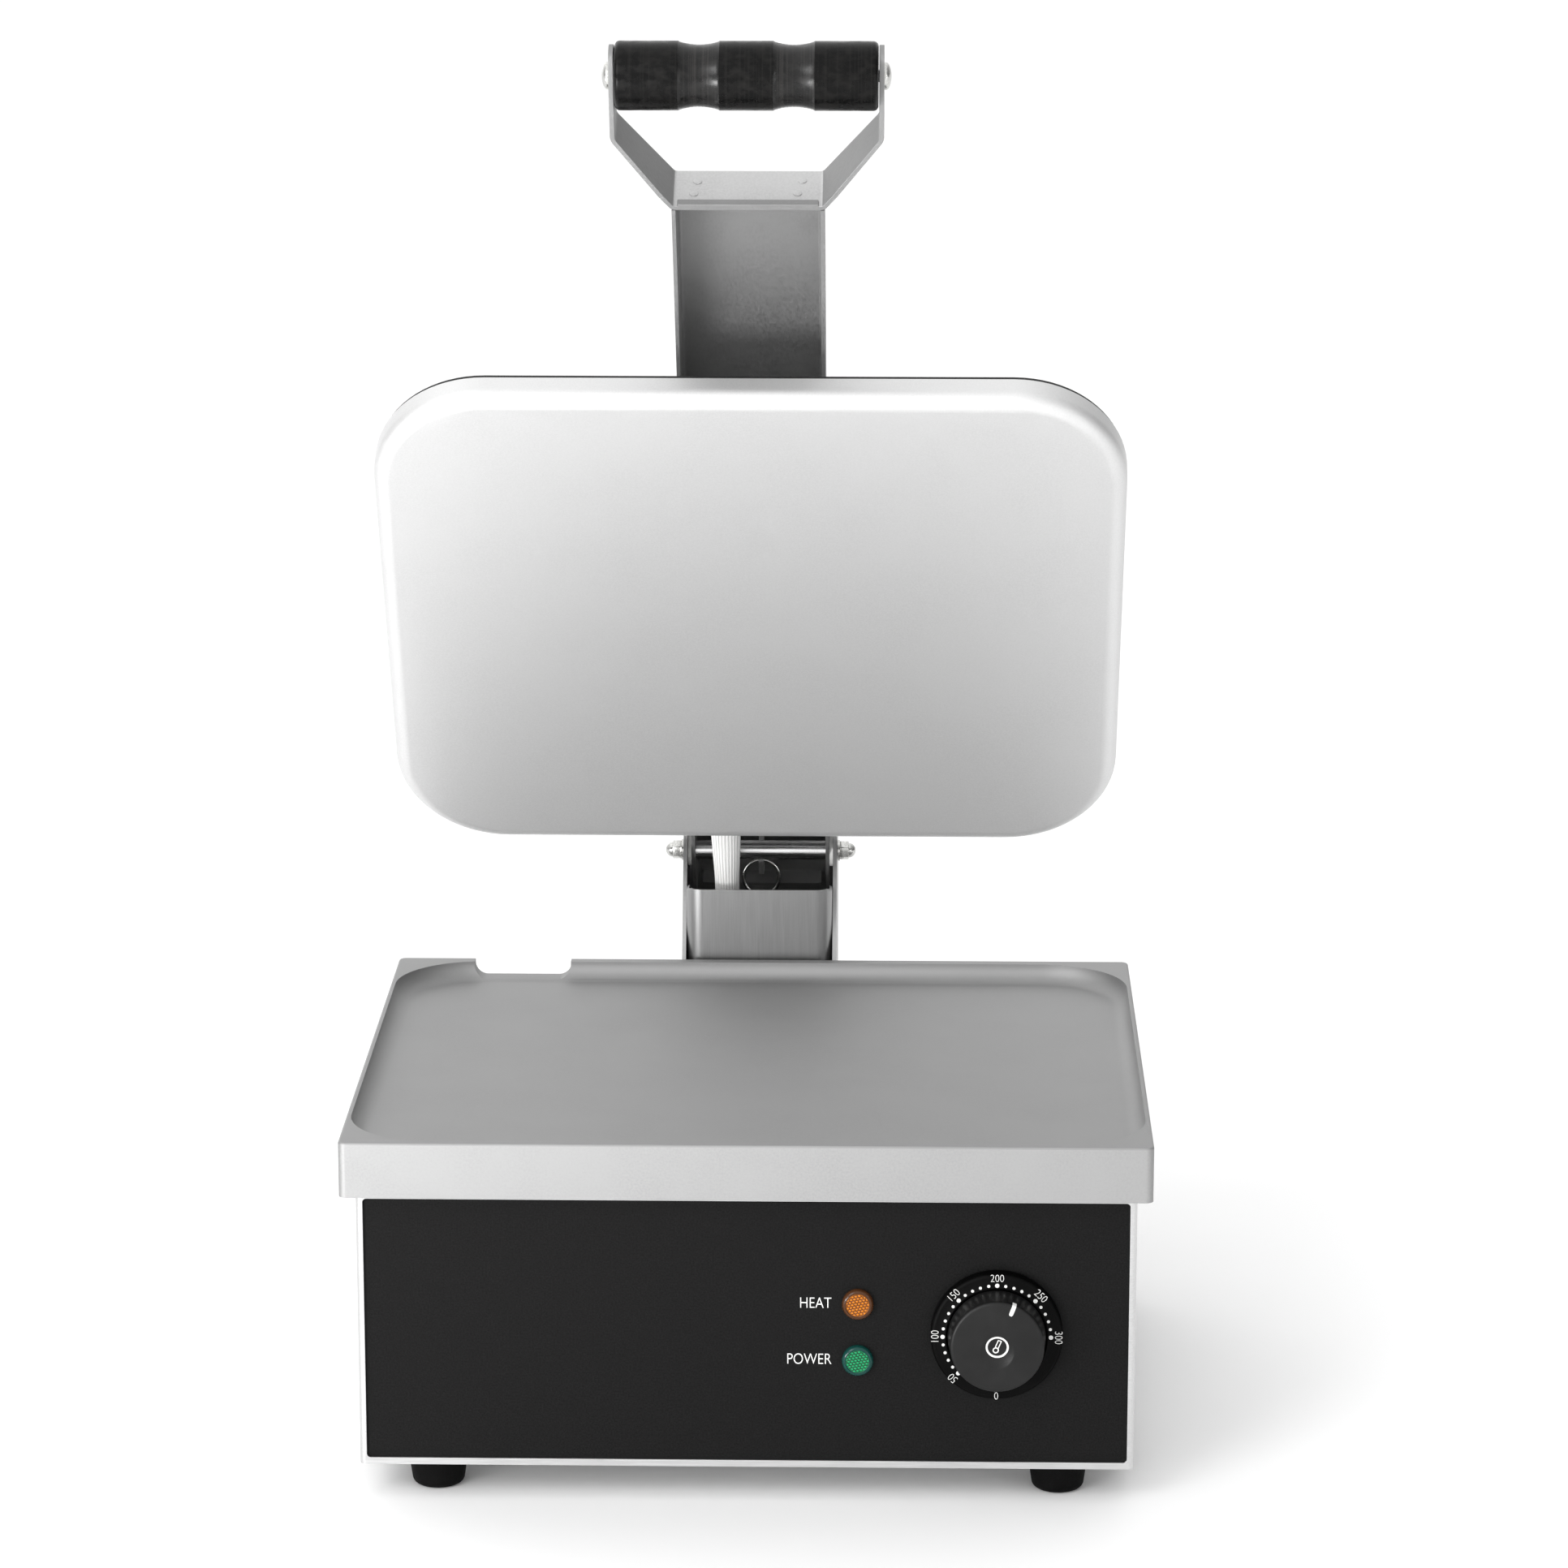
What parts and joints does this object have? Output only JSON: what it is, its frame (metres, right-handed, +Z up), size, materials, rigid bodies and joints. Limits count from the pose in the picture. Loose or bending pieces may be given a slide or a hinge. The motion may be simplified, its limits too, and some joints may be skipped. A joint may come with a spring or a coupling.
{
  "type": "panini press",
  "caption": "Counter-top panini press with a heated tray on a box base, a counterbalanced heated lid on a rear hinge and a bar handle.",
  "frame": {"origin": "centre of the overall box with the lid open as at rest, on the plane of the feet", "axes": "+X to the right of a person facing the dial, +Y to the hinge at the back, +Z up"},
  "size_m": [0.41, 0.4628, 0.7301],
  "materials": {
    "cast_aluminium": "cast, ground and satin polished",
    "stainless_sheet": "brushed stainless sheet",
    "black_enamel": "fine textured powder coat",
    "rubber": "moulded",
    "dial_black": "moulded, satin",
    "knob_black": "moulded phenolic, semi-gloss",
    "pointer_white": "moulded insert",
    "lens_amber": "ribbed translucent lens",
    "lens_green": "ribbed translucent lens",
    "lamp_nylon": "moulded",
    "zinc_steel": "zinc plated",
    "bright_steel": "ground and polished",
    "bakelite": "turned phenolic, worn gloss",
    "heater_steel": "heat-tinted sheath",
    "mineral_wool": "pressed fibre board",
    "glass_braid": "ribbed woven glass braid",
    "silicone": "moulded",
    "copper": "drawn tube",
    "polyamide": "moulded",
    "ptfe": "turned"
  },
  "bodies": {
    "base": {"lower_tray": "cast_aluminium", "lower_heating_element": "heater_steel", "element_clamps": "zinc_steel", "lower_insulation": "mineral_wool", "thermostat_bulb": "copper", "thermostat_capillary": "copper", "tray_screws": "zinc_steel", "base_housing": "stainless_sheet", "bottom_plate": "stainless_sheet", "front_fascia": "black_enamel", "rubber_feet": "rubber", "foot_screws": "zinc_steel", "dial_bezel": "dial_black", "thermostat": "polyamide", "heat_lamp_lens": "lens_amber", "heat_lamp_holder": "lamp_nylon", "power_lamp_lens": "lens_green", "power_lamp_holder": "lamp_nylon", "terminal_block": "lamp_nylon", "cable_gland": "polyamide", "gland_nut": "polyamide", "hinge_column": "stainless_sheet", "column_bolts": "zinc_steel", "column_cover": "stainless_sheet", "hinge_rod": "bright_steel", "hinge_cap_nuts": "bright_steel", "hinge_washers": "ptfe", "spring_anchor": "zinc_steel", "balance_spring": "zinc_steel", "wiring_sleeve": "glass_braid"},
    "lid": {"lid_arm": "stainless_sheet", "spring_tab": "stainless_sheet", "handle_bracket": "stainless_sheet", "handle_grip": "bakelite", "handle_tie_rod": "zinc_steel", "handle_bolt_heads": "bright_steel", "tilt_pin": "zinc_steel", "tilt_pin_clips": "zinc_steel"},
    "plate": {"upper_platen": "cast_aluminium", "upper_gasket": "silicone", "upper_heating_element": "heater_steel", "upper_insulation": "mineral_wool", "upper_cover": "stainless_sheet", "cover_screws": "zinc_steel", "plate_bracket": "zinc_steel", "sleeve_gland": "polyamide"},
    "dial": {"control_knob": "knob_black", "knob_pointer": "pointer_white", "thermostat_spindle": "bright_steel"}
  },
  "joints": [
    {"name": "lid_hinge", "type": "hinge", "parent": "base", "child": "lid", "pos_m": [-0.0025, 0.1775, 0.245], "axis": [-1, 0, 0], "range_deg": [-60, 15], "deforming": ["balance_spring", "wiring_sleeve"]},
    {"name": "plate_tilt", "type": "hinge", "parent": "lid", "child": "plate", "pos_m": [-0.0025, 0.07203, 0.43768], "axis": [-1, 0, 0], "range_deg": [-2, 2], "deforming": ["wiring_sleeve"]},
    {"name": "dial_turn", "type": "hinge", "parent": "base", "child": "dial", "pos_m": [0.127, -0.2195, 0.0911], "axis": [0, 1, 0], "range_deg": [-201, 69]}
  ]
}
